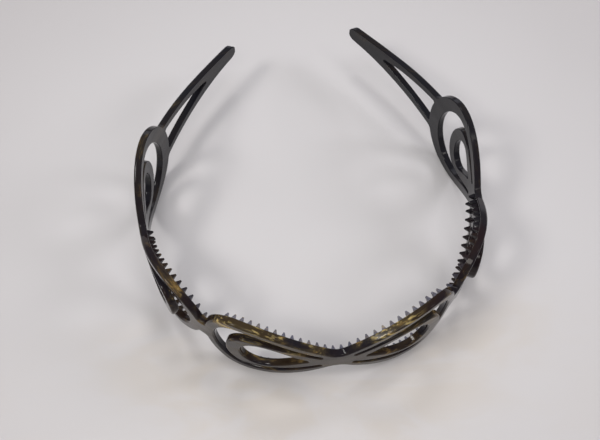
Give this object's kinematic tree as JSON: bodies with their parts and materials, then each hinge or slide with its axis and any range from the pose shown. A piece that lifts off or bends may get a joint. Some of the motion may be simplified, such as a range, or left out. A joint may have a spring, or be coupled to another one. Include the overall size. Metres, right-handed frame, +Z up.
{
  "type": "headband",
  "caption": "Springy open-work headband with nested pointed loops, slotted arms and short inner comb teeth.",
  "frame": {"origin": "on the ground plane under the middle of the band's overall box, the band standing on its edge", "axes": "+Z up along the band's width, +Y from the crown towards the tips, +X towards the right arm"},
  "size_m": [0.1398, 0.1584, 0.042],
  "materials": {
    "tortoiseshell_plastic": "polished, dark tortoiseshell with amber streaks"
  },
  "bodies": {
    "root": {"crown_waist": "tortoiseshell_plastic", "left_crown_outer_loop": "tortoiseshell_plastic", "left_crown_inner_loop": "tortoiseshell_plastic", "left_side_outer_loop": "tortoiseshell_plastic", "left_side_inner_loop": "tortoiseshell_plastic", "left_temple_outer_loop": "tortoiseshell_plastic", "left_temple_inner_loop": "tortoiseshell_plastic", "left_temple_waist": "tortoiseshell_plastic", "left_arm": "tortoiseshell_plastic", "left_crown_upper_teeth": "tortoiseshell_plastic", "left_crown_lower_teeth": "tortoiseshell_plastic", "left_side_upper_teeth": "tortoiseshell_plastic", "left_side_lower_teeth": "tortoiseshell_plastic", "right_crown_outer_loop": "tortoiseshell_plastic", "right_crown_inner_loop": "tortoiseshell_plastic", "right_side_outer_loop": "tortoiseshell_plastic", "right_side_inner_loop": "tortoiseshell_plastic", "right_temple_outer_loop": "tortoiseshell_plastic", "right_temple_inner_loop": "tortoiseshell_plastic", "right_temple_waist": "tortoiseshell_plastic", "right_arm": "tortoiseshell_plastic", "right_crown_upper_teeth": "tortoiseshell_plastic", "right_crown_lower_teeth": "tortoiseshell_plastic", "right_side_upper_teeth": "tortoiseshell_plastic", "right_side_lower_teeth": "tortoiseshell_plastic"}
  },
  "joints": []
}
